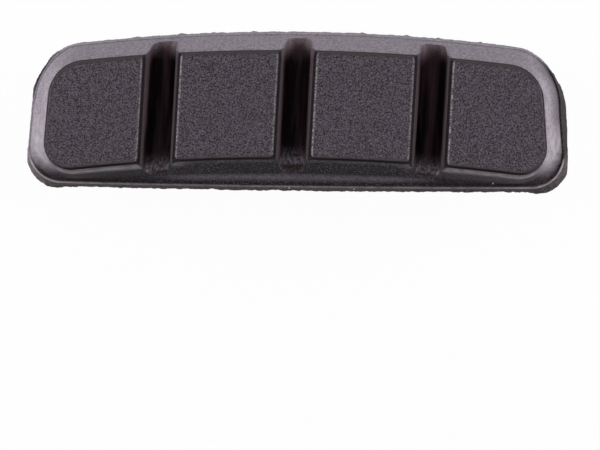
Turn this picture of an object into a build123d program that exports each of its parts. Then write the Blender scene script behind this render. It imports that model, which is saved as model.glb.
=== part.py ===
"""Bicycle rim brake pad: one moulded rubber block with an arched braking face and a slide-in tongue.

The pad lies on its back. X runs along its length, +Y points to the outer, bowed edge and +Z points out of
the braking face. The origin is under the middle of the head, on the plane of the tongue's back.
Sizes are in millimetres and angles in degrees.
"""

import os
from math import cos, radians, sin, sqrt, tan

from build123d import *

# Head: the widest part, with the mould's parting line round its lower edge and a lip round its upper edge
head_length = 60.0
head_width = 17.8
head_outer_radius = 203.0
head_inner_radius = 2000.0
head_outer_corner = 6.2
head_inner_corner = 4.2
wall_height = 1.8
wall_draft = 13.0
lip_width = 0.08
inner_lip_width = 0.33
lip_round = 0.12

# Braking face: the top of the arched block that the lands stand on
face_length = 53.9
face_width = 11.4
face_shift = 0.3
face_radius = 205.0
face_outer_corner = 3.9
face_inner_corner = 2.7
end_lean = 4.4

# Flanks: the steep sides of the block, which spread at the foot to meet the lip
flank_height = 3.3
flank_outer_run = 1.55
flank_inner_run = 1.2
flank_end_run = 1.65
flank_inner_radius = 350.0
flank_inner_corner = 5.0
foot_height = 0.9
shoulder_chamfer = 0.2

# Lands: the raised, textured pads that meet the rim
land_step = 0.25
land_inset = 0.2
land_corner = 0.5
land_edge_round = 0.1

# Grooves: the water channels between the lands, which slant a little across the face
groove_count = 3
groove_pitch = 14.65
groove_slant = 2.5
groove_mouth = 3.6
groove_channel = 2.85
groove_mouth_depth = 0.8
groove_floor = 2.4
groove_depth = 3.0
groove_floor_round = 0.9

# Tongue: the dovetail on the back, which slides into a pad holder, notched for a retaining pin at each end
tongue_length = 52.0
tongue_height = 3.0
tongue_foot_width = 9.0
tongue_neck_width = 6.8
tongue_corner = 2.0
pin_notch_radius = 1.1
pin_notch_inset = 5.0

# Heights above the tongue's back
parting_z = tongue_height
lip_z = parting_z + wall_height
flank_z = lip_z + foot_height
shoulder_z = flank_z + flank_height
shoulder_edge = land_inset + shoulder_chamfer

wall_run = wall_height * tan(radians(wall_draft))
end_slope = tan(radians(end_lean))
slant = radians(groove_slant)
mouth_run = (groove_mouth - groove_channel) / 2
groove_places = [(i - (groove_count - 1) / 2) * groove_pitch for i in range(groove_count)]


def arch(x, radius):
    """Fall of a bowed edge at x, measured from its highest point at the middle."""
    return radius - sqrt(radius**2 - x**2)


def outline(half_length, outer_edge, inner_edge, outer_corner, inner_corner):
    """Sketch with two bowed long edges, leaning ends and four rounded corners.

    outer_edge and inner_edge give the y of a long edge at an x. The half length is at the widest place,
    just above the inner corners.
    """
    widest_y = inner_edge(half_length) + inner_corner
    outer_x = half_length - end_slope * (outer_edge(half_length) - widest_y)
    inner_x = half_length + end_slope * inner_corner
    outer_y = outer_edge(outer_x)
    inner_y = inner_edge(inner_x)
    with BuildSketch() as shape:
        with BuildLine():
            ThreePointArc((-outer_x, outer_y), (0, outer_edge(0)), (outer_x, outer_y))
            Line((outer_x, outer_y), (inner_x, inner_y))
            ThreePointArc((inner_x, inner_y), (0, inner_edge(0)), (-inner_x, inner_y))
            Line((-inner_x, inner_y), (-outer_x, outer_y))
        make_face()
        fillet(shape.vertices().sort_by(Axis.Y)[-2:], outer_corner)
        fillet(shape.vertices().sort_by(Axis.Y)[:2], inner_corner)
    return shape.sketch


def head_outline(inset, inner_extra=0.0):
    """Outline of the head, drawn in by inset on every side and by inner_extra as well on its inner edge."""
    return outline(
        head_length / 2 - inset,
        lambda x: head_width / 2 - inset - arch(x, head_outer_radius - inset),
        lambda x: -head_width / 2 + inset + inner_extra + arch(x, head_inner_radius - inset),
        head_outer_corner - inset,
        head_inner_corner - inset,
    )


def face_outline(outer_run, inner_run, end_run, inner_radius, inner_corner):
    """Outline of the braking face, let out by a run on its outer edge, its inner edge and its ends."""
    return outline(
        face_length / 2 + end_run,
        lambda x: face_shift + face_width / 2 + outer_run - arch(x, face_radius + outer_run),
        lambda x: face_shift - face_width / 2 - inner_run - arch(x, inner_radius),
        face_outer_corner + outer_run,
        inner_corner,
    )


def even_outline(run):
    """Outline of the braking face, let out by the same run on every side."""
    return face_outline(run, run, run, face_radius - run, face_inner_corner + run)


def beside_groove(corner):
    """Whether a corner of a land lies along a groove, and not on the outline of the face."""
    reach = groove_mouth / 2 + 2 * land_inset
    return any(abs(corner.X - place - corner.Y * tan(slant)) < reach for place in groove_places)


def groove_plane(place):
    """Plane across the groove at place, with its origin at the height of the shoulder."""
    across = (cos(slant), -sin(slant), 0)
    along = (-sin(slant), -cos(slant), 0)
    return Plane((place, 0, shoulder_z), x_dir=across, z_dir=along)


with BuildPart() as brake_pad:
    # Dovetail tongue, rounded at its ends
    with BuildSketch(Plane.YZ):
        with BuildLine():
            Polyline(
                (-tongue_foot_width / 2, 0),
                (tongue_foot_width / 2, 0),
                (tongue_neck_width / 2, tongue_height),
                (-tongue_neck_width / 2, tongue_height),
                close=True,
            )
        make_face()
    extrude(amount=tongue_length / 2, both=True)
    tongue_ends = brake_pad.faces().filter_by(Axis.X).edges()
    fillet(tongue_ends.filter_by(Axis.Y, reverse=True), tongue_corner)

    # Half-round notches across the tongue's back for the holder's pin
    with BuildSketch(Plane.XZ):
        with Locations((tongue_length / 2 - pin_notch_inset, 0), (pin_notch_inset - tongue_length / 2, 0)):
            Circle(pin_notch_radius)
    extrude(amount=tongue_foot_width, both=True, mode=Mode.SUBTRACT)

    # Head, which narrows from the parting line to a rounded lip
    with BuildSketch(Plane.XY.offset(parting_z)):
        add(head_outline(0))
    with BuildSketch(Plane.XY.offset(lip_z)):
        add(head_outline(wall_run))
    loft(ruled=True)
    fillet(brake_pad.faces().sort_by(Axis.Z)[-1].edges(), lip_round)

    # Block: a foot that spreads to the lip, then steep flanks up to a chamfered shoulder
    with BuildSketch(Plane.XY.offset(lip_z)):
        add(head_outline(wall_run + lip_round + lip_width, inner_lip_width - lip_width))
    with BuildSketch(Plane.XY.offset(flank_z)):
        add(
            face_outline(
                shoulder_edge + flank_outer_run,
                shoulder_edge + flank_inner_run,
                shoulder_edge + flank_end_run,
                flank_inner_radius,
                flank_inner_corner,
            )
        )
    with BuildSketch(Plane.XY.offset(shoulder_z - shoulder_chamfer)):
        add(even_outline(shoulder_edge))
    with BuildSketch(Plane.XY.offset(shoulder_z)):
        add(even_outline(land_inset))
    loft(ruled=True)

    # Lands, set in from the shoulder and from the grooves
    with BuildSketch(Plane.XY.offset(shoulder_z)) as lands:
        add(even_outline(0))
        with Locations(*[Location((place, 0), -groove_slant) for place in groove_places]):
            Rectangle(groove_mouth + 2 * land_inset, head_width, mode=Mode.SUBTRACT)
        fillet(lands.vertices().filter_by(beside_groove), land_corner)
    extrude(amount=land_step)
    fillet(brake_pad.faces().group_by(Axis.Z)[-1].edges(), land_edge_round)

    # Grooves, rounded over at the mouth and round at the floor
    for place in groove_places:
        with BuildSketch(groove_plane(place)) as groove:
            with BuildLine():
                left = EllipticalCenterArc(
                    (-groove_mouth / 2, -groove_mouth_depth), mouth_run, groove_mouth_depth, arc_size=90
                )
                right = EllipticalCenterArc(
                    (groove_mouth / 2, -groove_mouth_depth), mouth_run, groove_mouth_depth, 90, arc_size=90
                )
                Polyline(
                    left @ 1,
                    (-groove_mouth / 2, 2 * land_step),
                    (groove_mouth / 2, 2 * land_step),
                    right @ 0,
                )
                Polyline(
                    right @ 1,
                    (groove_floor / 2, -groove_depth),
                    (-groove_floor / 2, -groove_depth),
                    left @ 0,
                )
            make_face()
            fillet(groove.vertices().group_by(Axis.Y)[0], groove_floor_round)
        extrude(amount=head_width, both=True, mode=Mode.SUBTRACT)

os.makedirs("parts", exist_ok=True)
brake_pad.part.label = "brake_pad"
export_step(brake_pad.part, "parts/brake_pad.step")
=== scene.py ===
"""Bicycle rim brake pad: one moulding of black rubber, which lies on its back on a white sweep.

The frame gives the pad's solid. The pad built here is a copy of it with the surface of the moulding: grained
lands, a soft cove where the flank meets its foot, and a ragged wall where flash was trimmed at the parting
line. Lengths are in metres, apart from places and sizes on the pad, which are in millimetres, as its mesh is
while it is worked on. MM turns millimetres to metres.
"""

from math import atan2, cos, exp, pi, radians, sin, tan

import bmesh
import bpy
import numpy as np
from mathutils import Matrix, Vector
from mathutils.geometry import delaunay_2d_cdt


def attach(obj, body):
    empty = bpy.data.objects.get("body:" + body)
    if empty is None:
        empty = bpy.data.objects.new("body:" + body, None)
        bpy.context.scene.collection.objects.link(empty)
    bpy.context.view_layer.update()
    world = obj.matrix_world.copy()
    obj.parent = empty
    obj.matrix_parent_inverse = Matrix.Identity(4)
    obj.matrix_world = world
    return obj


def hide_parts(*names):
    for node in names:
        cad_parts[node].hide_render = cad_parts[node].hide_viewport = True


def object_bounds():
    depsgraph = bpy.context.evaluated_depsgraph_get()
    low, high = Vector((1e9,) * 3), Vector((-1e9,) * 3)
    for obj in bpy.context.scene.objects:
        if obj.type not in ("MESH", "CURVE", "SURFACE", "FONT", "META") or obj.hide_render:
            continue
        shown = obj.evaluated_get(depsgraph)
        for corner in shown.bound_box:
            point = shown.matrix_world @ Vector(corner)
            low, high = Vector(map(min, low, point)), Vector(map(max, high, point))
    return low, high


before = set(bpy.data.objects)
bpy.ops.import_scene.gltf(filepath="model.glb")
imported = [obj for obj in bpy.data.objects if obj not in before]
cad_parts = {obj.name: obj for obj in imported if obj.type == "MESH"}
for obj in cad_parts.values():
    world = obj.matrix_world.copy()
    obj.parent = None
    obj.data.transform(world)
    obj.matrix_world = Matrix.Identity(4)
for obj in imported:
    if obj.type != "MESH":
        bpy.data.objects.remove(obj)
cad_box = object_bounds()

bl_info = {
    "name": "Rim Brake Pad",
    "version": (1, 0, 0),
    "blender": (4, 5, 0),
    "location": "View3D > Sidebar > Brake Pad",
    "description": "Builds a moulded rubber rim brake pad around its solid, with a stage to show it on",
    "category": "Add Mesh",
}

MM = 0.001

# The solid: its heights, the inner edge of its braking face with the bow of that edge, and its grooves
PARTING_Z = 3.0
LIP_Z = 4.8
LIP_ROUND = 0.12
FOOT_Z = 5.7
SHOULDER_Z = 9.0
INNER_EDGE_Y = -5.4
FACE_BOW = 1 / (2 * 205.0)
GROOVE_PLACES = (-14.65, 0.0, 14.65)
GROOVE_SLANT = radians(2.5)
GROOVE_MOUTH = 3.6

# Kinds of surface, kept on the faces as the attribute "region"
SKIN, LAND, WALL, LIP, FLANK, EDGE, GROOVE = range(7)

# Distance within which points merge, and distance within which a point lies on a level
MERGE_DISTANCE = 0.001
LEVEL_GAP = 0.01

# How far the normals of a groove's sides may lean along it, and how far those of the wall may lean up
GROOVE_LEAN = 0.1
WALL_LEAN = 0.5

# Passes that halve long edges, and passes that smooth the cove with the factor of each
REFINE_PASSES = 6
COVE_PASSES = 6
COVE_FACTOR = 0.5

# Share of its pitch by which a point of the grain strays, and angle past which an edge stays sharp
GRAIN_STRAY = 0.25
SHARP_ANGLE = radians(35)

# Flash left standing at the parting line, and flash trimmed too far: middle, reach and how far it stands out
FLASH = (
    ((29.3, -7.3), 4.0, 0.6),
    ((29.9, -1.0), 5.0, 0.25),
    ((-28.8, -7.6), 3.5, 0.45),
    ((-28.2, 4.2), 2.0, -0.2),
    ((28.0, 4.8), 3.5, -0.2),
)

# Nibs of flash along the outer edge, given the same way, with their shade and the power that keeps it low
NIB_REACH = 0.25
NIBS = (
    ((-17.8, 8.1), NIB_REACH, 0.09),
    ((-13.0, 8.5), NIB_REACH, 0.12),
    ((-9.4, 8.7), NIB_REACH, 0.1),
    ((-4.9, 8.8), NIB_REACH, 0.09),
    ((7.2, 8.8), NIB_REACH, 0.1),
    ((12.1, 8.5), NIB_REACH, 0.1),
    ((15.6, 8.3), NIB_REACH, 0.09),
    ((20.3, 7.9), NIB_REACH, 0.1),
    ((26.6, 6.2), NIB_REACH, 0.15),
)
NIB_SHADE = 0.8
NIB_POWER = 6

# Cuts of the trimming knife into the lip: middle, reach and depth, and how far up the flank they show
CUTS = (((29.3, -1.0), 6.0, 0.2), ((28.2, 4.8), 3.5, 0.2), ((-28.4, 4.2), 4.0, 0.4))
CUT_HEIGHT = 1.6

# Finishes. Here a pair of places, heights or slopes says where a share starts and where it is full.

# Torn wall: places of painted shadow with reach and strength, the right end's painted shade, and how the
# tears grow to the inner edge
DARK_PLACES = (((-28.6, 3.5), 4.5, 1.0), ((29.0, -7.0), 4.0, 0.4))
DARK_END_X = (27.0, 28.5)
DARK_END_Y = (-6.5, -4.0)
DARK_END_SHADE = 0.85
TEAR_GAIN = 1.3
OUTER_TEAR = 0.55
INNER_WALL_Y = (-4.0, -7.0)
OUTER_WALL_Y = (-6.0, 0.0)

# Edges of the lands, as distances from a groove's mouth or past the face's inner edge: grain, painted shade,
# and wear with a painted highlight
LAND_END_X = (25.4, 26.4)
LAND_END_GRAIN = 0.8
GRAIN_GAP = (0.6, 0.4)
SHADE_GAP = (0.4, 0.3)
INNER_SHADE_GAP = (-0.2, -0.1)
EDGE_SHADE = 0.8
WEAR_AND_HIGHLIGHT_GAP = 0.345
WEAR_AND_HIGHLIGHT_WIDTH = 0.09
LEFT_WEAR_AND_HIGHLIGHT = 0.45
RIGHT_WEAR_AND_HIGHLIGHT = 0.75

# Grooves: heights of the mouth and the floor, and places along a groove where it runs out through the flanks
MOUTH_Z = (SHOULDER_Z - 0.6, SHOULDER_Z - 0.25)
FLOOR_Z = (7.8, 6.4)
RUN_OUT_Y = (INNER_EDGE_Y + 1.8, INNER_EDGE_Y - 0.15)
RUN_OUT_FOOT_Y = (INNER_EDGE_Y - 0.4, INNER_EDGE_Y - 0.7)
RUN_OUT_BOW = 0.004
OUTER_END_Y = (5.2, 7.6)

# Stretches where the flanks change: to under the end lands, to the right, to less grit, to the inner lip
END_X = (11.0, 17.0)
RIGHT_X = (10.0, 18.0)
LESS_GRIT_X = (13.0, 21.0)
INNER_LIP_Y = (-3.0, -6.0)

# Slopes of a flank's level normal, as it turns to the inner edge, the outer edge, the right end or either end
TO_INNER = (-0.7, -0.95)
TO_INNER_CORNER = (-0.3, -0.8)
FROM_INNER = (-1.0, -0.55)
TO_OUTER = (0.5, 0.83)
TO_OUTER_LIP = (0.65, 0.9)
TO_RIGHT = (0.5, 0.83)
TO_END = (0.6, 0.93)

# Bloom with painted light on the flanks, at heights from 0 at the lip to 1 at the shoulder. It is full where
# a flank faces the softboxes. Painted shade takes it away where the flank faces inwards, and low on the inner
# corners and the right end. The shoulder's band, a painted highlight, is given twice, at the middle of the
# inner edge and under the end lands, and the foot's band is painted light. The painted light is thin to the
# right and low down, and the losses are where there is less of it or of the grit under it.
SHOULDER_BAND_LIGHT = (0.4, 0.8)
SHOULDER_HEIGHT = (0.98, 0.88)
SHOULDER_WIDTH = (0.07, 0.15)
FOOT_BAND_LIGHT = 0.92
FOOT_HEIGHT = 0.13
FOOT_WIDTH = 0.09
RIGHT_PAINTED_LIGHT = 0.2
RIGHT_PAINTED_LIGHT_HEIGHT = (0.0, 0.33)
LOW_PAINTED_LIGHT = 0.12
CORNER_SHADE_HEIGHT = (0.0, 0.5)
RIGHT_SHADE_HEIGHT = (0.0, 0.71)
OUTER_LOSS = 0.13
GROOVE_BLOOM_AND_LIGHT = 0.35
END_GRIT_LOSS = 0.7

# Rubbing and painted highlights of the lip and the flanks, at the same heights, and the share at which they
# start to show. The outer lip's is painted light. The inner lip's is given at its middle and under the end
# lands.
RUB_AND_HIGHLIGHT_START = 0.6
INNER_LIP_RUB_AND_HIGHLIGHT = (0.94, 1.0)
OUTER_LIP_LIGHT = 0.74
SHOULDER_HIGHLIGHT_HEIGHT = 0.89
SHOULDER_HIGHLIGHT_WIDTH = 0.13
END_HIGHLIGHT = 0.35
END_HIGHLIGHT_HEIGHT = (0.6, 0.9)
CORNER_HIGHLIGHT = 0.6
CORNER_HIGHLIGHT_HEIGHT = (0.0, 0.25)
HIGHLIT_CORNERS = (((28.6, -4.4), 3.5), ((-28.6, -4.2), 4.0))

# Specks of dust on the inner edge
DUST = ((21.7, -7.8), (-0.66, -8.55), (6.5, -8.6))
DUST_SIZE = 0.16
DUST_COLOUR = "E6E4E6"

# Sweep, in metres: its middle ring, the flat floor, the bend, the height of the wall, and how it is divided
SWEEP_MIDDLE = 0.05
SWEEP_FLAT = 0.45
SWEEP_BEND = 0.15
SWEEP_HEIGHT = 0.35
SWEEP_STEPS = 12
SWEEP_SIDES = 96

# Share of the paper that is plain white to the eye, which keeps the shadow on it light
PAPER_GLOW = 0.97

# Gap between the pad's back and the floor, so that the two don't share a plane
FLOOR_GAP = 0.02 * MM

# Softboxes, in metres: distance from the pad's middle, size and height
SIDE_DISTANCE = 0.2
SIDE_BACK = 0.05
SIDE_SIZE = (0.14, 0.08)
BACK_DISTANCE = 0.2
BACK_SIZE = (0.2, 0.08)
SOFTBOX_HEIGHT = 0.08

# Picture that the camera is set for, and the place at the height of the lip that is in the middle of it
IMAGE_WIDTH = 600
FOCAL_PIXELS = 1700
SENSOR_WIDTH = 36.0
PICTURE_MIDDLE = (0.6, -12.55, LIP_Z)


def linear(hex_colour):
    """Linear RGB of an sRGB hex colour."""
    channels = [int(hex_colour[i : i + 2], 16) / 255 for i in (0, 2, 4)]
    return [c / 12.92 if c <= 0.04045 else ((c + 0.055) / 1.055) ** 2.4 for c in channels]


class PadSettings(bpy.types.PropertyGroup):
    """Sizes of the moulding's surface and colours of its rubber."""

    grain_pitch: bpy.props.FloatProperty(
        name="Grain pitch",
        description="Distance between points of the lands' grain",
        default=0.1 * MM,
        unit="LENGTH",
    )
    grain_size: bpy.props.FloatProperty(
        name="Grain size",
        description="Width of one grain of the abrasive rubber",
        default=0.14 * MM,
        unit="LENGTH",
    )
    grain_depth: bpy.props.FloatProperty(
        name="Grain depth",
        description="Height from the grain's hollows to its tops",
        default=0.05 * MM,
        unit="LENGTH",
    )
    land_border: bpy.props.FloatProperty(
        name="Land border",
        description="Width of the smoother strip round each land",
        default=0.3 * MM,
        unit="LENGTH",
    )
    flash_size: bpy.props.FloatProperty(
        name="Flash size",
        description="Length of one tear along the trimmed wall",
        default=0.7 * MM,
        unit="LENGTH",
    )
    flash_depth: bpy.props.FloatProperty(
        name="Flash depth",
        description="How far the tears go into the wall at the parting line",
        default=0.28 * MM,
        unit="LENGTH",
    )
    cove_width: bpy.props.FloatProperty(
        name="Cove width",
        description="Height each side of the foot's edge that is rounded to a cove",
        default=0.55 * MM,
        unit="LENGTH",
    )
    wall_facet: bpy.props.FloatProperty(
        name="Wall facet",
        description="Longest edge of the torn wall's mesh",
        default=0.25 * MM,
        unit="LENGTH",
    )
    flank_facet: bpy.props.FloatProperty(
        name="Flank facet",
        description="Longest edge of the flanks' mesh",
        default=0.4 * MM,
        unit="LENGTH",
    )
    seed: bpy.props.IntProperty(
        name="Seed",
        description="Start of the grain's and the flash's random pattern",
        default=7,
    )
    land_colour: bpy.props.FloatVectorProperty(
        name="Land colour",
        description="Abrasive rubber of the lands",
        subtype="COLOR",
        default=linear("4A434B"),
    )
    skin_colour: bpy.props.FloatVectorProperty(
        name="Skin colour",
        description="Black moulded skin of the grooves and the back",
        subtype="COLOR",
        default=linear("241A1E"),
    )
    # Waxy bloom colour, which also paints the light on the flanks and in the grooves' run-outs
    bloom_and_light_colour: bpy.props.FloatVectorProperty(
        name="Bloom colour",
        description="Waxy grey bloom on the flanks",
        subtype="COLOR",
        default=linear("857E87"),
    )
    border_colour: bpy.props.FloatVectorProperty(
        name="Border colour",
        description="Smooth border of the lands",
        subtype="COLOR",
        default=linear("40393C"),
    )
    # Grey painted light at the mouths and ends of the grooves, over the black skin
    mouth_light_colour: bpy.props.FloatVectorProperty(
        name="Mouth colour",
        description="Dull grey skin at the mouths and ends of the grooves",
        subtype="COLOR",
        default=linear("3A3235"),
    )
    # Worn edges of the lands, with a painted highlight that is brighter on one side of each groove
    worn_and_highlight_colour: bpy.props.FloatVectorProperty(
        name="Worn colour",
        description="Worn edges of the lands beside the grooves",
        subtype="COLOR",
        default=linear("C8C0C3"),
    )
    # Rubbed edge of the lip, and painted highlights on the lip and the flanks
    rub_and_highlight_colour: bpy.props.FloatVectorProperty(
        name="Lip colour",
        description="Rubbed edge of the lip and rubbed places of the flanks",
        subtype="COLOR",
        default=linear("A69FA5"),
    )
    torn_colour: bpy.props.FloatVectorProperty(
        name="Torn colour",
        description="Torn rubber along the parting line",
        subtype="COLOR",
        default=linear("686161"),
    )


class StageSettings(bpy.types.PropertyGroup):
    """Floor, lights and camera."""

    floor_colour: bpy.props.FloatVectorProperty(
        name="Floor colour",
        description="White paper of the sweep",
        subtype="COLOR",
        default=linear("F2F2F2"),
    )
    room_colour: bpy.props.FloatVectorProperty(
        name="Room colour",
        description="Light of the room round the sweep",
        subtype="COLOR",
        default=linear("FFF7FA"),
    )
    room_strength: bpy.props.FloatProperty(
        name="Room strength",
        description="Strength of the room's light",
        default=0.15,
    )
    side_power: bpy.props.FloatProperty(
        name="Side power",
        description="Power of the softbox at each end of the pad",
        default=0.43,
        unit="POWER",
    )
    back_power: bpy.props.FloatProperty(
        name="Back power",
        description="Power of the softbox behind the pad's outer edge",
        default=0.05,
        unit="POWER",
    )
    camera_height: bpy.props.FloatProperty(
        name="Camera height",
        description="Height of the camera above the pad's lip",
        default=187.1 * MM,
        unit="LENGTH",
    )
    camera_offset: bpy.props.FloatProperty(
        name="Camera offset",
        description="How far the camera stands to the right of the middle of its picture",
        default=6 * MM,
        unit="LENGTH",
    )
    camera_roll: bpy.props.FloatProperty(
        name="Camera roll",
        description="Turn of the camera about its line of sight",
        default=radians(0.75),
        subtype="ANGLE",
    )


def add_node(tree, kind, inputs=None, **settings):
    """Add a node to a tree, set its properties, then set or link its inputs by socket name or number."""
    made = tree.nodes.new(kind)
    for key, value in settings.items():
        setattr(made, key, value)
    for key, value in (inputs or {}).items():
        if isinstance(value, bpy.types.NodeSocket):
            tree.links.new(value, made.inputs[key])
        else:
            made.inputs[key].default_value = value
    return made


def new_material(name):
    """Empty node material and its tree."""
    material = bpy.data.materials.new(name)
    material.use_nodes = True
    material.node_tree.nodes.clear()
    return material, material.node_tree


def opaque(colour, level=1.0):
    """Colour times a level, with full alpha."""
    return [c * level for c in colour] + [1]


def speckle(
    tree, colour, size, shades, spread=(0.32, 0.68), detail=3.0, roughness=0.5, stretch=(1, 1, 1), turn=0.0
):
    """Colour in specks of a real size, from a dark to a light shade of itself.

    The spread is the two levels of the noise that have those shades. A stretch along the axes, which may be
    turned about Z, draws the specks out to streaks.
    """
    place = add_node(tree, "ShaderNodeTexCoord").outputs["Object"]
    drawn = add_node(
        tree,
        "ShaderNodeMapping",
        {"Vector": place, "Rotation": (0, 0, turn), "Scale": stretch},
        vector_type="TEXTURE",
    )
    specks = add_node(
        tree,
        "ShaderNodeTexNoise",
        {"Vector": drawn.outputs[0], "Scale": 1 / size, "Detail": detail, "Roughness": roughness},
    )
    tones = add_node(tree, "ShaderNodeValToRGB", {"Fac": specks.outputs[0]})
    for stop, level, shade in zip(tones.color_ramp.elements, spread, shades):
        stop.position = level
        stop.color = opaque(colour, shade)
    return tones.outputs["Color"]


def fade(tree, axis, start, end, bow=0.0):
    """Share that grows along an axis of the pad from 0 at start to 1 at end.

    bow is how fast the start and the end fall towards the pad's ends, as the braking face's long edges do.
    """
    place = add_node(tree, "ShaderNodeTexCoord").outputs["Object"]
    parts = add_node(tree, "ShaderNodeSeparateXYZ", {0: place}).outputs
    square = add_node(tree, "ShaderNodeMath", {0: parts["X"], 1: parts["X"]}, operation="MULTIPLY")
    along = add_node(
        tree, "ShaderNodeMath", {0: square.outputs[0], 1: bow / MM, 2: parts[axis]}, operation="MULTIPLY_ADD"
    )
    share = add_node(
        tree, "ShaderNodeMapRange", {"Value": along.outputs[0], "From Min": start * MM, "From Max": end * MM}
    )
    return share.outputs[0]


def layered(tree, body, *layers):
    """Colour of a body under layers of others, each with its share as a socket or an attribute's name."""
    for share, colour in layers:
        if isinstance(share, str):
            share = add_node(tree, "ShaderNodeAttribute", attribute_name=share).outputs["Fac"]
        mix = add_node(tree, "ShaderNodeMix", {"Factor": share, 6: body, 7: colour}, data_type="RGBA")
        body = mix.outputs[2]
    return body


def dusted(tree, body):
    """Colour with a white speck of dust at each of a few places, seen from above."""
    place = add_node(tree, "ShaderNodeTexCoord").outputs["Object"]
    level = add_node(tree, "ShaderNodeVectorMath", {0: place, 1: (1, 1, 0)}, operation="MULTIPLY")
    for x, y in DUST:
        gap = add_node(
            tree, "ShaderNodeVectorMath", {0: level.outputs[0], 1: (x * MM, y * MM, 0)}, operation="DISTANCE"
        )
        hit = add_node(
            tree, "ShaderNodeMath", {0: gap.outputs["Value"], 1: DUST_SIZE * MM / 2}, operation="LESS_THAN"
        )
        body = layered(tree, body, (hit.outputs[0], opaque(linear(DUST_COLOUR))))
    return body


def finish_rubber(tree, body, roughness, specular):
    """End a rubber's tree with a shader of the body's colour and the material's output."""
    shader = add_node(
        tree,
        "ShaderNodeBsdfPrincipled",
        {"Base Color": body, "Roughness": roughness, "Specular IOR Level": specular},
    )
    add_node(tree, "ShaderNodeOutputMaterial", {"Surface": shader.outputs[0]})


def abrasive_rubber(colour, worn_and_highlight, border, skin, grain_size):
    """Abrasive-filled rubber: matt, pale grit in a dark binder, smooth at its border, worn by the grooves
    with a painted highlight, and with painted shade at the foot of its edges.
    """
    material, tree = new_material("abrasive_rubber")
    # Real grit is finer than the render's pixels, so it is drawn as coarse as it needs to show
    grit = speckle(tree, colour, 1.15 * grain_size, shades=(0.15, 2.6), spread=(0.4, 0.66), roughness=0.7)
    specks = speckle(tree, (1, 1, 1), 1.5 * grain_size, shades=(0.0, 1.0), spread=(0.4, 0.6), detail=2.0)
    wear_and_highlight = add_node(tree, "ShaderNodeAttribute", attribute_name="wear_and_highlight").outputs["Fac"]
    worn_highlight_specks = add_node(tree, "ShaderNodeMath", {0: wear_and_highlight, 1: specks}, operation="MULTIPLY")
    body = layered(
        tree,
        opaque(border),
        ("grain", grit),
        ("shade", opaque(skin, 0.5)),
        (worn_highlight_specks.outputs[0], opaque(worn_and_highlight)),
    )
    finish_rubber(tree, body, roughness=0.75, specular=0.3)
    return material


def black_rubber(colour):
    """Plain moulded skin of the back: black with a low satin shine."""
    material, tree = new_material("black_rubber")
    mottle = speckle(tree, colour, 0.3 * MM, shades=(0.5, 1.6))
    finish_rubber(tree, mottle, roughness=0.5, specular=0.12)
    return material


def groove_rubber(colour, mouth_light, bloom_and_light):
    """Skin of the grooves: black with streaks of painted highlight along the channel, and grey painted light
    at its mouth and where it runs out.
    """
    material, tree = new_material("groove_rubber")
    # The streaks are painted highlights along the channel
    streaks = speckle(
        tree,
        colour,
        0.8 * MM,
        shades=(0.6, 6.5),
        spread=(0.42, 0.72),
        stretch=(1, 14, 14),
        turn=-GROOVE_SLANT,
    )
    pale = speckle(
        tree,
        bloom_and_light,
        0.2 * MM,
        shades=(0.4, 2.9),
        spread=(0.36, 0.64),
        stretch=(1, 2, 2),
        turn=-GROOVE_SLANT,
    )
    dull = speckle(tree, mouth_light, 0.2 * MM, shades=(1.0, 5.5))
    grey = speckle(tree, mouth_light, 0.2 * MM, shades=(2.2, 4.4))

    # Painted light: the floor alone grows pale towards the inner edge, slowly at first
    run_out = fade(tree, "Y", *RUN_OUT_Y, RUN_OUT_BOW)
    run_out = add_node(tree, "ShaderNodeMath", {0: run_out, 1: 2.0}, operation="POWER").outputs[0]
    floor = fade(tree, "Z", *FLOOR_Z)
    lit_floor = add_node(tree, "ShaderNodeMath", {0: run_out, 1: floor}, operation="MULTIPLY").outputs[0]

    body = layered(
        tree,
        streaks,
        (fade(tree, "Z", *MOUTH_Z), opaque(mouth_light)),
        (lit_floor, pale),
        (fade(tree, "Y", *RUN_OUT_FOOT_Y, RUN_OUT_BOW), dull),
        (fade(tree, "Y", *OUTER_END_Y), grey),
    )
    finish_rubber(tree, body, roughness=0.55, specular=0.12)
    return material


def bloom_and_light_rubber(colour, skin, rub_and_highlight_tone):
    """Flanks with waxy bloom and painted light: satin grey that fades to gritty black in painted shade on
    the inner edge, with rubbing and painted highlights at edges.
    """
    material, tree = new_material("bloom_and_light_rubber")
    bare = speckle(tree, skin, 0.35 * MM, shades=(0.3, 1.8), detail=4.0, stretch=(5, 1, 1))
    grit = speckle(tree, colour, 0.2 * MM, shades=(0.02, 1.4), spread=(0.5, 0.76), roughness=0.75)
    bloom_and_light = speckle(tree, colour, 0.3 * MM, shades=(0.62, 1.38), roughness=0.7)
    rubs_and_highlights = speckle(tree, rub_and_highlight_tone, 0.8 * MM, shades=(0.7, 1.3))
    rub_and_highlight = add_node(tree, "ShaderNodeAttribute", attribute_name="rub_and_highlight").outputs["Fac"]
    shown = add_node(tree, "ShaderNodeMapRange", {"Value": rub_and_highlight, "From Min": RUB_AND_HIGHLIGHT_START, "From Max": 1.0})
    body = layered(tree, bare, ("grit", grit), ("bloom_and_light", bloom_and_light), (shown.outputs[0], rubs_and_highlights))
    finish_rubber(tree, dusted(tree, body), roughness=0.6, specular=0.05)
    return material


def torn_rubber(colour, bloom_and_light, skin):
    """Rubber torn at the parting line: rough and dull, paler on the outer edge and black in painted shadow.
    """
    material, tree = new_material("torn_rubber")
    fibres = speckle(tree, colour, 0.3 * MM, shades=(0.5, 1.4), detail=4.0)
    pale = speckle(tree, bloom_and_light, 0.3 * MM, shades=(0.7, 1.2), detail=4.0)
    body = layered(tree, fibres, (fade(tree, "Y", *OUTER_WALL_Y), pale), ("shade", opaque(skin, 0.3)))
    finish_rubber(tree, dusted(tree, body), roughness=0.85, specular=0.1)
    return material


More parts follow.
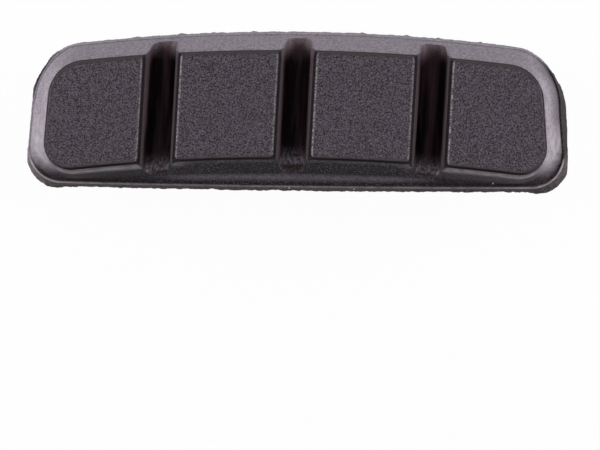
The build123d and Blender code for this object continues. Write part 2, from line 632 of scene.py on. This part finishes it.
def white_paper(colour):
    """White paper sweep: even white to the eye and in reflections, and it keeps a light shadow of the pad."""
    material, tree = new_material("white_paper")
    path = add_node(tree, "ShaderNodeLightPath").outputs
    seen = path["Is Camera Ray"]
    for ray in ("Is Glossy Ray", "Is Transmission Ray"):
        seen = add_node(tree, "ShaderNodeMath", {0: seen, 1: path[ray]}, operation="MAXIMUM").outputs[0]
    share = add_node(tree, "ShaderNodeMath", {0: seen, 1: PAPER_GLOW}, operation="MULTIPLY").outputs[0]
    paper = add_node(tree, "ShaderNodeBsdfDiffuse", {"Color": opaque(colour)})
    glow = add_node(tree, "ShaderNodeEmission", {"Color": (1, 1, 1, 1), "Strength": 1.0})
    shader = add_node(tree, "ShaderNodeMixShader", {0: share, 1: paper.outputs[0], 2: glow.outputs[0]})
    add_node(tree, "ShaderNodeOutputMaterial", {"Surface": shader.outputs[0]})
    return material


def clamp(value):
    """Value held between 0 and 1."""
    return max(0.0, min(1.0, value))


def ramp(value, start, end):
    """Share that grows from 0 where a value is at start to 1 where it is at end."""
    return clamp((value - start) / (end - start))


def between(first, second, share):
    """Number that goes from the first to the second with a share."""
    return first + (second - first) * share


def bump(value, middle, width):
    """Share that falls off on both sides of a middle value."""
    return exp(-(((value - middle) / width) ** 2))


def nearness(point, place, reach):
    """Share that falls from 1 at a place to 0 at its reach, seen from above."""
    return 1 - clamp((point.xy - Vector(place)).length / reach) ** 2


def groove_offset(point):
    """Distance of a point from the middle of the nearest groove, less than nothing on its left."""
    across = point[0] - point[1] * tan(GROOVE_SLANT)
    return min((across - place for place in GROOVE_PLACES), key=abs)


def groove_gap(point):
    """Distance of a point from the mouth of the nearest groove, less than nothing in the groove."""
    return abs(groove_offset(point)) - GROOVE_MOUTH / 2


def region_verts(bm, *kinds):
    """Points of all faces of some kinds of surface."""
    region = bm.faces.layers.int["region"]
    return {v for f in bm.faces if f[region] in kinds for v in f.verts}


def mark_regions(bm):
    """Mark each face of the solid as land, land's edge, groove, wall, lip, flank or plain skin."""
    region = bm.faces.layers.int.new("region")
    top = max(v.co.z for v in bm.verts)
    lip_foot = LIP_Z - LIP_ROUND - LEVEL_GAP
    along = Vector((sin(GROOVE_SLANT), cos(GROOVE_SLANT), 0))
    for face in bm.faces:
        middle = face.calc_center_median()
        beside = groove_gap(middle) < LEVEL_GAP and abs(face.normal.dot(along)) < GROOVE_LEAN
        if min(v.co.z for v in face.verts) > top - LEVEL_GAP:
            face[region] = LAND
        elif PARTING_Z < middle.z < lip_foot and abs(face.normal.z) < WALL_LEAN:
            face[region] = WALL
        elif lip_foot < middle.z < LIP_Z + LEVEL_GAP:
            face[region] = LIP
        elif LIP_Z < middle.z < SHOULDER_Z - LEVEL_GAP and not beside:
            face[region] = FLANK
        elif middle.z > SHOULDER_Z - LEVEL_GAP and not beside:
            face[region] = EDGE
        elif middle.z > LIP_Z:
            face[region] = GROOVE
        else:
            face[region] = SKIN
    return region


def drop_flaps(bm):
    """Remove pairs of faces on the same three points, which triangulation can leave standing on an edge."""
    seen = {}
    flaps = []
    for face in bm.faces:
        other = seen.setdefault(frozenset(face.verts), face)
        if other is not face:
            flaps += [face, other]
    bmesh.ops.delete(bm, geom=flaps, context="FACES")


def refine(bm, chosen, longest):
    """Halve the edges of the chosen faces that are longer than longest, in several passes."""
    region = bm.faces.layers.int["region"]
    for _ in range(REFINE_PASSES):
        long_edges = {e for f in bm.faces if chosen(f) for e in f.edges if e.calc_length() > longest}
        bmesh.ops.subdivide_edges(bm, edges=list(long_edges), cuts=1)
        bmesh.ops.triangulate(bm, faces=[f for f in bm.faces if len(f.verts) > 3 and f[region] != LAND])
        drop_flaps(bm)


def clear_points(points, outline, gap):
    """Distance of each point to a closed outline, and which points lie inside it by more than gap."""
    start = np.array(outline)
    end = np.roll(start, -1, axis=0)
    along = end - start
    offset = points[:, None, :] - start[None, :, :]
    share = np.clip((offset * along).sum(2) / (along**2).sum(1), 0, 1)
    distance = np.linalg.norm(offset - share[:, :, None] * along, axis=2).min(1)
    above = (start[:, 1] > points[:, None, 1]) != (end[:, 1] > points[:, None, 1])
    rise = np.where(along[:, 1] == 0, 1, along[:, 1])
    crossing = start[:, 0] + (points[:, None, 1] - start[:, 1]) * along[:, 0] / rise
    inside = (above & (points[:, None, 0] < crossing)).sum(1) % 2 == 1
    return distance, inside & (distance > gap)


def edge_grain(point):
    """Share of grain that a point of a land's edge keeps, at the ends of the pad and beside the grooves."""
    at_end = LAND_END_GRAIN * ramp(abs(point[0]), *LAND_END_X)
    return max(at_end, ramp(groove_gap(point), *GRAIN_GAP))


def edge_wear_and_highlight(point):
    """Share of wear and painted highlight at a point of a land, along the edges beside the grooves and
    most on a groove's right.
    """
    most = RIGHT_WEAR_AND_HIGHLIGHT if groove_offset(point) > 0 else LEFT_WEAR_AND_HIGHLIGHT
    return most * bump(groove_gap(point), WEAR_AND_HIGHLIGHT_GAP, WEAR_AND_HIGHLIGHT_WIDTH)


def grain_land(bm, face, pitch, random, border):
    """Replace a land's flat face by a fine triangle mesh, with its share of grain, and of wear and painted
    highlight, at each point.
    """
    region = bm.faces.layers.int["region"]
    grain = bm.verts.layers.float["grain"]
    wear_and_highlight = bm.verts.layers.float["wear_and_highlight"]
    corners = list(face.verts)
    outline = [v.co.xy for v in corners]
    low = np.min(outline, axis=0)
    high = np.max(outline, axis=0)
    rows = np.arange(low[1], high[1], pitch * sin(pi / 3))
    columns = np.arange(low[0], high[0], pitch)
    grid = np.array([(x + pitch / 2 * (i % 2), y) for i, y in enumerate(rows) for x in columns])
    grid += random.uniform(-GRAIN_STRAY * pitch, GRAIN_STRAY * pitch, grid.shape)
    distance, kept = clear_points(grid, outline, pitch / 2)
    spots = [Vector(p) for p in grid[kept]]
    places, _, triangles, origins, _, _ = delaunay_2d_cdt(
        outline + spots, [], [range(len(outline))], 1, MERGE_DISTANCE / 10
    )
    level = corners[0].co.z
    bm.faces.remove(face)
    verts = []
    depths = distance[kept]
    for place, origin in zip(places, origins):
        first = origin[0]
        if first < len(corners):
            vert = corners[first]
            vert[grain] = edge_grain(place)
        else:
            vert = bm.verts.new((place.x, place.y, level))
            vert[grain] = max(clamp(depths[first - len(corners)] / border), edge_grain(place))
        vert[wear_and_highlight] = edge_wear_and_highlight(place)
        verts.append(vert)
    for triangle in triangles:
        made = bm.faces.new([verts[i] for i in triangle])
        made[region] = LAND


def soften_cove(bm, width):
    """Round the edge between the flank and its foot to a cove."""
    near = [
        v for v in bm.verts
        if abs(v.co.z - FOOT_Z) < width and v.co.z > LIP_Z + LEVEL_GAP and groove_gap(v.co) > LEVEL_GAP
    ]
    for _ in range(COVE_PASSES):
        bmesh.ops.smooth_vert(
            bm, verts=near, factor=COVE_FACTOR, use_axis_x=True, use_axis_y=True, use_axis_z=True
        )


def flank_bloom_and_light(place, facing, height):
    """Share of bloom with painted light on a flank.

    The outer edge and the ends face the softboxes and have it all over. Painted shade makes it fade low on
    the inner corners and on the right end. The inner edge faces away from the lamps. It has a painted
    highlight band on its shoulder, which is wider under the end lands, and a band of painted light on its
    foot between them.
    """
    end = ramp(abs(place.x), *END_X)
    shoulder = between(*SHOULDER_BAND_LIGHT, end) * bump(
        height, between(*SHOULDER_HEIGHT, end), between(*SHOULDER_WIDTH, end)
    )
    foot = FOOT_BAND_LIGHT * (1 - end) * bump(height, FOOT_HEIGHT, FOOT_WIDTH)
    right_light = RIGHT_PAINTED_LIGHT * ramp(place.x, *RIGHT_X) * ramp(height, *RIGHT_PAINTED_LIGHT_HEIGHT)
    low_light = LOW_PAINTED_LIGHT * (1 - height)
    inner = ramp(facing.y, *TO_INNER) * max(shoulder, foot, right_light, low_light)

    sides = ramp(facing.y, *FROM_INNER)
    sides *= 1 - ramp(facing.y, *TO_INNER_CORNER) * (1 - ramp(height, *CORNER_SHADE_HEIGHT))
    sides *= 1 - ramp(facing.x, *TO_RIGHT) * (1 - ramp(height, *RIGHT_SHADE_HEIGHT))
    sides *= 1 - OUTER_LOSS * ramp(facing.y, *TO_OUTER)
    return max(sides, inner)


def lip_rub_and_highlight(place, facing):
    """Share of rubbing and painted highlight on the lip, most on the inner edge under the end lands, and
    some on the outer edge.
    """
    inner = between(*INNER_LIP_RUB_AND_HIGHLIGHT, ramp(abs(place.x), *END_X)) * ramp(place.y, *INNER_LIP_Y)
    return max(inner, OUTER_LIP_LIGHT * ramp(facing.y, *TO_OUTER_LIP))


def flank_highlight(place, facing, height):
    """Share of painted highlight on a flank, on the shoulder under the end lands, at the ends and the inner
    corners.
    """
    shoulder = ramp(abs(place.x), *END_X) * ramp(facing.y, *TO_INNER)
    shoulder *= bump(height, SHOULDER_HIGHLIGHT_HEIGHT, SHOULDER_HIGHLIGHT_WIDTH)
    ends = END_HIGHLIGHT * ramp(abs(facing.x), *TO_END) * ramp(height, *END_HIGHLIGHT_HEIGHT)
    corners = max(nearness(place, corner, reach) for corner, reach in HIGHLIT_CORNERS)
    corners *= CORNER_HIGHLIGHT * ramp(height, *CORNER_HIGHLIGHT_HEIGHT)
    return between(RUB_AND_HIGHLIGHT_START, 1, max(shoulder, ends, corners))


def mark_flanks(bm):
    """Give the points of the flanks and the lip their share of bloom, grit and rubbing, with painted light.
    """
    region = bm.faces.layers.int["region"]
    bloom_and_light = bm.verts.layers.float["bloom_and_light"]
    rub_and_highlight = bm.verts.layers.float["rub_and_highlight"]
    grit = bm.verts.layers.float["grit"]
    bm.normal_update()
    for vert in region_verts(bm, FLANK, LIP):
        kinds = {f[region] for f in vert.link_faces}
        outward = sum((f.normal.xy for f in vert.link_faces if f[region] in (FLANK, LIP)), Vector((0, 0)))
        facing = outward.normalized()
        height = ramp(vert.co.z, LIP_Z, SHOULDER_Z)
        vert[bloom_and_light] = flank_bloom_and_light(vert.co, facing, height)
        vert[grit] = 1 - END_GRIT_LOSS * ramp(abs(vert.co.x), *LESS_GRIT_X)
        if GROOVE in kinds:
            vert[bloom_and_light] *= GROOVE_BLOOM_AND_LIGHT
        elif FLANK not in kinds:
            vert[rub_and_highlight] = lip_rub_and_highlight(vert.co, facing)
        elif LIP not in kinds:
            vert[rub_and_highlight] = flank_highlight(vert.co, facing, height)


def mark_edges(bm):
    """Give the lands' edges their grain, and painted shade at their foot beside the grooves and along the
    inner edge.
    """
    grain = bm.verts.layers.float["grain"]
    shade = bm.verts.layers.float["shade"]
    lands = region_verts(bm, LAND)
    for vert in region_verts(bm, EDGE):
        vert[grain] = edge_grain(vert.co)
        if vert not in lands:
            past = INNER_EDGE_Y - vert.co.x**2 * FACE_BOW - vert.co.y
            beside = ramp(groove_gap(vert.co), *SHADE_GAP)
            vert[shade] = EDGE_SHADE * max(beside, ramp(past, *INNER_SHADE_GAP))


def mark_wall(bm):
    """Give the wall's points their share of the tears, the flash that stands there, and the shade."""
    tear = bm.verts.layers.float["tear"]
    flash = bm.verts.layers.float["flash"]
    shade = bm.verts.layers.float["shade"]
    for vert in region_verts(bm, WALL):
        depth = (LIP_Z - vert.co.z) / (LIP_Z - PARTING_Z)
        share = clamp(TEAR_GAIN * depth)
        vert[tear] = share * between(OUTER_TEAR, 1, ramp(vert.co.y, *INNER_WALL_Y))
        stands = (stand * nearness(vert.co, place, reach) for place, reach, stand in FLASH + NIBS)
        vert[flash] = share * sum(stands) * MM
        # Painted shadow: black at the right end and at the dark places
        right = DARK_END_SHADE * ramp(vert.co.x, *DARK_END_X) * ramp(vert.co.y, *DARK_END_Y)
        dark = max(strength * nearness(vert.co, place, reach) for place, reach, strength in DARK_PLACES)
        nibs = NIB_SHADE * max(nearness(vert.co, place, reach) for place, reach, _ in NIBS)
        vert[shade] = max(right, dark, nibs * depth**NIB_POWER)


def cut_flash(bm):
    """Push the lip and the foot of the flank in where a knife went too deep when the flash was trimmed."""
    for vert in region_verts(bm, WALL, LIP, FLANK):
        if vert.co.z < LIP_Z:
            share = (vert.co.z - PARTING_Z) / (LIP_Z - PARTING_Z)
        else:
            share = 1 - clamp((vert.co.z - LIP_Z) / CUT_HEIGHT)
        for place, reach, depth in CUTS:
            vert.co.xy -= vert.normal.xy.normalized() * depth * share * nearness(vert.co, place, reach)


def refined_pad(settings):
    """Mesh of the solid, merged and divided finely enough for the moulding's surface."""
    random = np.random.default_rng(settings.seed)
    bm = bmesh.new()
    bm.from_mesh(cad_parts["brake_pad"].data)
    bmesh.ops.scale(bm, verts=bm.verts, vec=(1 / MM, 1 / MM, 1 / MM))
    bmesh.ops.remove_doubles(bm, verts=bm.verts, dist=MERGE_DISTANCE)
    for name in ("grain", "wear_and_highlight", "shade", "bloom_and_light", "grit", "rub_and_highlight", "tear", "flash"):
        bm.verts.layers.float.new(name)
    region = mark_regions(bm)
    bmesh.ops.dissolve_faces(bm, faces=[f for f in bm.faces if f[region] == LAND], use_verts=False)
    refine(bm, lambda f: f[region] == WALL, settings.wall_facet / MM)
    refine(bm, lambda f: f[region] == FLANK, settings.flank_facet / MM)
    soften_cove(bm, settings.cove_width / MM)
    mark_flanks(bm)
    mark_edges(bm)
    mark_wall(bm)
    cut_flash(bm)
    for face in [f for f in bm.faces if f[region] == LAND]:
        grain_land(bm, face, settings.grain_pitch / MM, random, settings.land_border / MM)
    for face in bm.faces:
        face.smooth = True
    bmesh.ops.scale(bm, verts=bm.verts, vec=(MM, MM, MM))
    mesh = bpy.data.meshes.new("moulded_pad")
    bm.to_mesh(mesh)
    bm.free()
    # The solid's own normals don't suit the divided mesh
    if "custom_normal" in mesh.attributes:
        mesh.attributes.remove(mesh.attributes["custom_normal"])
    return mesh


def moulding_tree(finishes):
    """Geometry nodes that sink the grain, tear the wall, push out flash and give each region its rubber."""
    tree = bpy.data.node_groups.new("Moulding surface", "GeometryNodeTree")
    sockets = tree.interface
    sockets.new_socket("Geometry", in_out="INPUT", socket_type="NodeSocketGeometry")
    for name in ("Grain Size", "Grain Depth", "Flash Size", "Flash Depth", "Seed"):
        sockets.new_socket(name, in_out="INPUT", socket_type="NodeSocketFloat")
    sockets.new_socket("Geometry", in_out="OUTPUT", socket_type="NodeSocketGeometry")

    given = add_node(tree, "NodeGroupInput").outputs
    position = add_node(tree, "GeometryNodeInputPosition").outputs[0]
    shares = {
        name: add_node(tree, "GeometryNodeInputNamedAttribute", {"Name": name}).outputs["Attribute"]
        for name in ("grain", "tear", "flash")
    }

    # Hollows of the grain, straight down from the lands
    scale = add_node(tree, "ShaderNodeMath", {0: 1.0, 1: given["Grain Size"]}, operation="DIVIDE")
    grain = add_node(
        tree,
        "ShaderNodeTexNoise",
        {"Vector": position, "W": given["Seed"], "Scale": scale.outputs[0], "Detail": 2.0},
        noise_dimensions="4D",
    )
    grain = add_node(tree, "ShaderNodeMath", {0: grain.outputs[0], 1: 1.0}, operation="SUBTRACT")
    for factor in (given["Grain Depth"], shares["grain"]):
        grain = add_node(tree, "ShaderNodeMath", {0: grain.outputs[0], 1: factor}, operation="MULTIPLY")
    sink = add_node(tree, "ShaderNodeCombineXYZ", {"Z": grain.outputs[0]})

    # Flash that was left, straight out from the wall, less the depth of the tears
    scale = add_node(tree, "ShaderNodeMath", {0: 1.0, 1: given["Flash Size"]}, operation="DIVIDE")
    tears = add_node(
        tree,
        "ShaderNodeTexNoise",
        {"Vector": position, "W": given["Seed"], "Scale": scale.outputs[0], "Detail": 5.0, "Roughness": 0.7},
        noise_dimensions="4D",
    )
    tears = add_node(
        tree, "ShaderNodeMapRange", {"Value": tears.outputs[0], "From Min": 0.4, "From Max": 0.8}
    )
    for factor in (given["Flash Depth"], shares["tear"]):
        tears = add_node(tree, "ShaderNodeMath", {0: tears.outputs[0], 1: factor}, operation="MULTIPLY")
    stand = add_node(tree, "ShaderNodeMath", {0: shares["flash"], 1: tears.outputs[0]}, operation="SUBTRACT")
    normal = add_node(tree, "GeometryNodeInputNormal").outputs[0]
    level = add_node(tree, "ShaderNodeVectorMath", {0: normal, 1: (1, 1, 0)}, operation="MULTIPLY")
    outward = add_node(tree, "ShaderNodeVectorMath", {0: level.outputs[0]}, operation="NORMALIZE")
    push = add_node(
        tree, "ShaderNodeVectorMath", {0: outward.outputs[0], "Scale": stand.outputs[0]}, operation="SCALE"
    )

    # Points moved by both, and held inside the solid's box
    offset = add_node(tree, "ShaderNodeVectorMath", {0: sink.outputs[0], 1: push.outputs[0]}, operation="ADD")
    moved = add_node(tree, "ShaderNodeVectorMath", {0: position, 1: offset.outputs[0]}, operation="ADD")
    moved = add_node(tree, "ShaderNodeVectorMath", {0: moved.outputs[0], 1: cad_box[0]}, operation="MAXIMUM")
    moved = add_node(tree, "ShaderNodeVectorMath", {0: moved.outputs[0], 1: cad_box[1]}, operation="MINIMUM")
    shape = add_node(
        tree, "GeometryNodeSetPosition", {"Geometry": given["Geometry"], "Position": moved.outputs[0]}
    )
    shape = add_node(tree, "GeometryNodeRealizeInstances", {"Geometry": shape.outputs[0]})

    region = add_node(tree, "GeometryNodeInputNamedAttribute", {"Name": "region"}, data_type="INT")
    for kind, finish in finishes.items():
        chosen = add_node(
            tree,
            "FunctionNodeCompare",
            {2: region.outputs["Attribute"], 3: kind},
            data_type="INT",
            operation="EQUAL",
        )
        shape = add_node(
            tree,
            "GeometryNodeSetMaterial",
            {"Geometry": shape.outputs[0], "Selection": chosen.outputs[0], "Material": finish},
        )
    add_node(tree, "NodeGroupOutput", {0: shape.outputs[0]})
    return tree


def apply_moulding(context, pad, settings):
    """Run the moulding's nodes on the pad and keep the result as its plain mesh."""
    skin = settings.skin_colour
    bloom_and_light = settings.bloom_and_light_colour
    abrasive = abrasive_rubber(
        settings.land_colour, settings.worn_and_highlight_colour, settings.border_colour, skin, settings.grain_size
    )
    bloom_and_light_finish = bloom_and_light_rubber(bloom_and_light, skin, settings.rub_and_highlight_colour)
    tree = moulding_tree(
        {
            SKIN: black_rubber(skin),
            LAND: abrasive,
            WALL: torn_rubber(settings.torn_colour, bloom_and_light, skin),
            LIP: bloom_and_light_finish,
            FLANK: bloom_and_light_finish,
            EDGE: abrasive,
            GROOVE: groove_rubber(skin, settings.mouth_light_colour, bloom_and_light),
        }
    )
    modifier = pad.modifiers.new("Moulding surface", "NODES")
    modifier.node_group = tree
    values = {
        "Grain Size": settings.grain_size,
        "Grain Depth": settings.grain_depth,
        "Flash Size": settings.flash_size,
        "Flash Depth": settings.flash_depth,
        "Seed": float(settings.seed),
    }
    for socket in tree.interface.items_tree:
        if socket.name in values:
            modifier[socket.identifier] = values[socket.name]
    shaped = pad.evaluated_get(context.evaluated_depsgraph_get())
    mesh = bpy.data.meshes.new_from_object(shaped)
    pad.modifiers.clear()
    pad.data = mesh
    mesh.set_sharp_from_angle(angle=SHARP_ANGLE)


class BRAKEPAD_OT_build_pad(bpy.types.Operator):
    """Build the moulded rubber pad over its solid"""

    bl_idname = "brakepad.build_pad"
    bl_label = "Build Pad"

    def execute(self, context):
        settings = context.scene.brake_pad
        pad = bpy.data.objects.new("moulded_pad", refined_pad(settings))
        context.scene.collection.objects.link(pad)
        apply_moulding(context, pad, settings)
        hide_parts("brake_pad")
        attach(pad, "root")
        return {"FINISHED"}


def sweep_mesh():
    """Round floor that curves up to a wall all round."""
    profile = [(SWEEP_MIDDLE, 0.0), (SWEEP_FLAT, 0.0)]
    for step in range(1, SWEEP_STEPS + 1):
        turn = step / SWEEP_STEPS * pi / 2
        profile.append((SWEEP_FLAT + SWEEP_BEND * sin(turn), SWEEP_BEND * (1 - cos(turn))))
    profile.append((SWEEP_FLAT + SWEEP_BEND, SWEEP_HEIGHT))
    turns = [2 * pi * k / SWEEP_SIDES for k in range(SWEEP_SIDES)]
    points = [(0.0, 0.0, 0.0)]
    for radius, level in profile:
        points += [(radius * cos(turn), radius * sin(turn), level) for turn in turns]
    sides = [(k, (k + 1) % SWEEP_SIDES) for k in range(SWEEP_SIDES)]
    faces = [(0, 1 + k, 1 + after) for k, after in sides]
    for ring in range(len(profile) - 1):
        low = 1 + ring * SWEEP_SIDES
        high = low + SWEEP_SIDES
        faces += [(low + k, high + k, high + after, low + after) for k, after in sides]
    mesh = bpy.data.meshes.new("sweep")
    mesh.from_pydata(points, [], faces)
    mesh.shade_smooth()
    return mesh


def add_softbox(context, name, place, size, power):
    """Area light at place that faces the pad and isn't seen by the camera."""
    lamp = bpy.data.lights.new(name, "AREA")
    lamp.shape = "RECTANGLE"
    lamp.size, lamp.size_y = size
    lamp.energy = power
    softbox = bpy.data.objects.new(name, lamp)
    softbox.location = place
    to_pad = Vector((0, 0, SHOULDER_Z * MM)) - Vector(place)
    softbox.rotation_euler = to_pad.to_track_quat("-Z", "Y").to_euler()
    softbox.visible_camera = False
    context.scene.collection.objects.link(softbox)


def add_room(context, settings):
    """Dim world that lights the pad evenly from all round."""
    world = bpy.data.worlds.new("dim_room")
    world.use_nodes = True
    background = world.node_tree.nodes["Background"]
    background.inputs["Color"].default_value = opaque(settings.room_colour)
    background.inputs["Strength"].default_value = settings.room_strength
    context.scene.world = world


def add_camera(context, settings):
    """Camera that looks down at the pad, which lies in the upper half of its picture."""
    data = bpy.data.cameras.new("camera")
    data.sensor_width = SENSOR_WIDTH
    data.lens = FOCAL_PIXELS / IMAGE_WIDTH * SENSOR_WIDTH
    data.clip_start = 1 * MM
    camera = bpy.data.objects.new("camera", data)
    middle = Vector(PICTURE_MIDDLE) * MM
    camera.location = middle + Vector((settings.camera_offset, 0, settings.camera_height))
    lean = atan2(settings.camera_offset, settings.camera_height)
    camera.rotation_euler = (0, lean, settings.camera_roll)
    context.scene.collection.objects.link(camera)
    context.scene.camera = camera


class BRAKEPAD_OT_build_stage(bpy.types.Operator):
    """Build the white sweep, the softboxes, the room's light and the camera"""

    bl_idname = "brakepad.build_stage"
    bl_label = "Build Stage"

    def execute(self, context):
        settings = context.scene.brake_pad_stage
        sweep = bpy.data.objects.new("sweep", sweep_mesh())
        sweep.location.z = -FLOOR_GAP
        sweep.data.materials.append(white_paper(settings.floor_colour))
        context.scene.collection.objects.link(sweep)

        for name, side in (("left_softbox", -1), ("right_softbox", 1)):
            place = (side * SIDE_DISTANCE, SIDE_BACK, SOFTBOX_HEIGHT)
            add_softbox(context, name, place, SIDE_SIZE, settings.side_power)
        place = (0.0, BACK_DISTANCE, SOFTBOX_HEIGHT)
        add_softbox(context, "back_softbox", place, BACK_SIZE, settings.back_power)
        add_room(context, settings)
        add_camera(context, settings)
        context.scene.view_settings.view_transform = "Standard"
        return {"FINISHED"}


class BRAKEPAD_PT_panel(bpy.types.Panel):
    """Settings of the pad and its stage, with a button to build each"""

    bl_label = "Rim Brake Pad"
    bl_idname = "BRAKEPAD_PT_panel"
    bl_space_type = "VIEW_3D"
    bl_region_type = "UI"
    bl_category = "Brake Pad"

    def draw(self, context):
        for settings, operator in (
            (context.scene.brake_pad, BRAKEPAD_OT_build_pad),
            (context.scene.brake_pad_stage, BRAKEPAD_OT_build_stage),
        ):
            box = self.layout.box()
            for name in settings.__annotations__:
                box.prop(settings, name)
            box.operator(operator.bl_idname)


CLASSES = (
    PadSettings,
    StageSettings,
    BRAKEPAD_OT_build_pad,
    BRAKEPAD_OT_build_stage,
    BRAKEPAD_PT_panel,
)


def register():
    """Register the classes and give each scene its settings."""
    for cls in CLASSES:
        bpy.utils.register_class(cls)
    bpy.types.Scene.brake_pad = bpy.props.PointerProperty(type=PadSettings)
    bpy.types.Scene.brake_pad_stage = bpy.props.PointerProperty(type=StageSettings)


def unregister():
    """Take the settings and the classes away again."""
    del bpy.types.Scene.brake_pad_stage
    del bpy.types.Scene.brake_pad
    for cls in reversed(CLASSES):
        bpy.utils.unregister_class(cls)


def main():
    """Build the pad and its stage."""
    register()
    bpy.ops.brakepad.build_pad()
    bpy.ops.brakepad.build_stage()


if __name__ == "__main__":
    main()
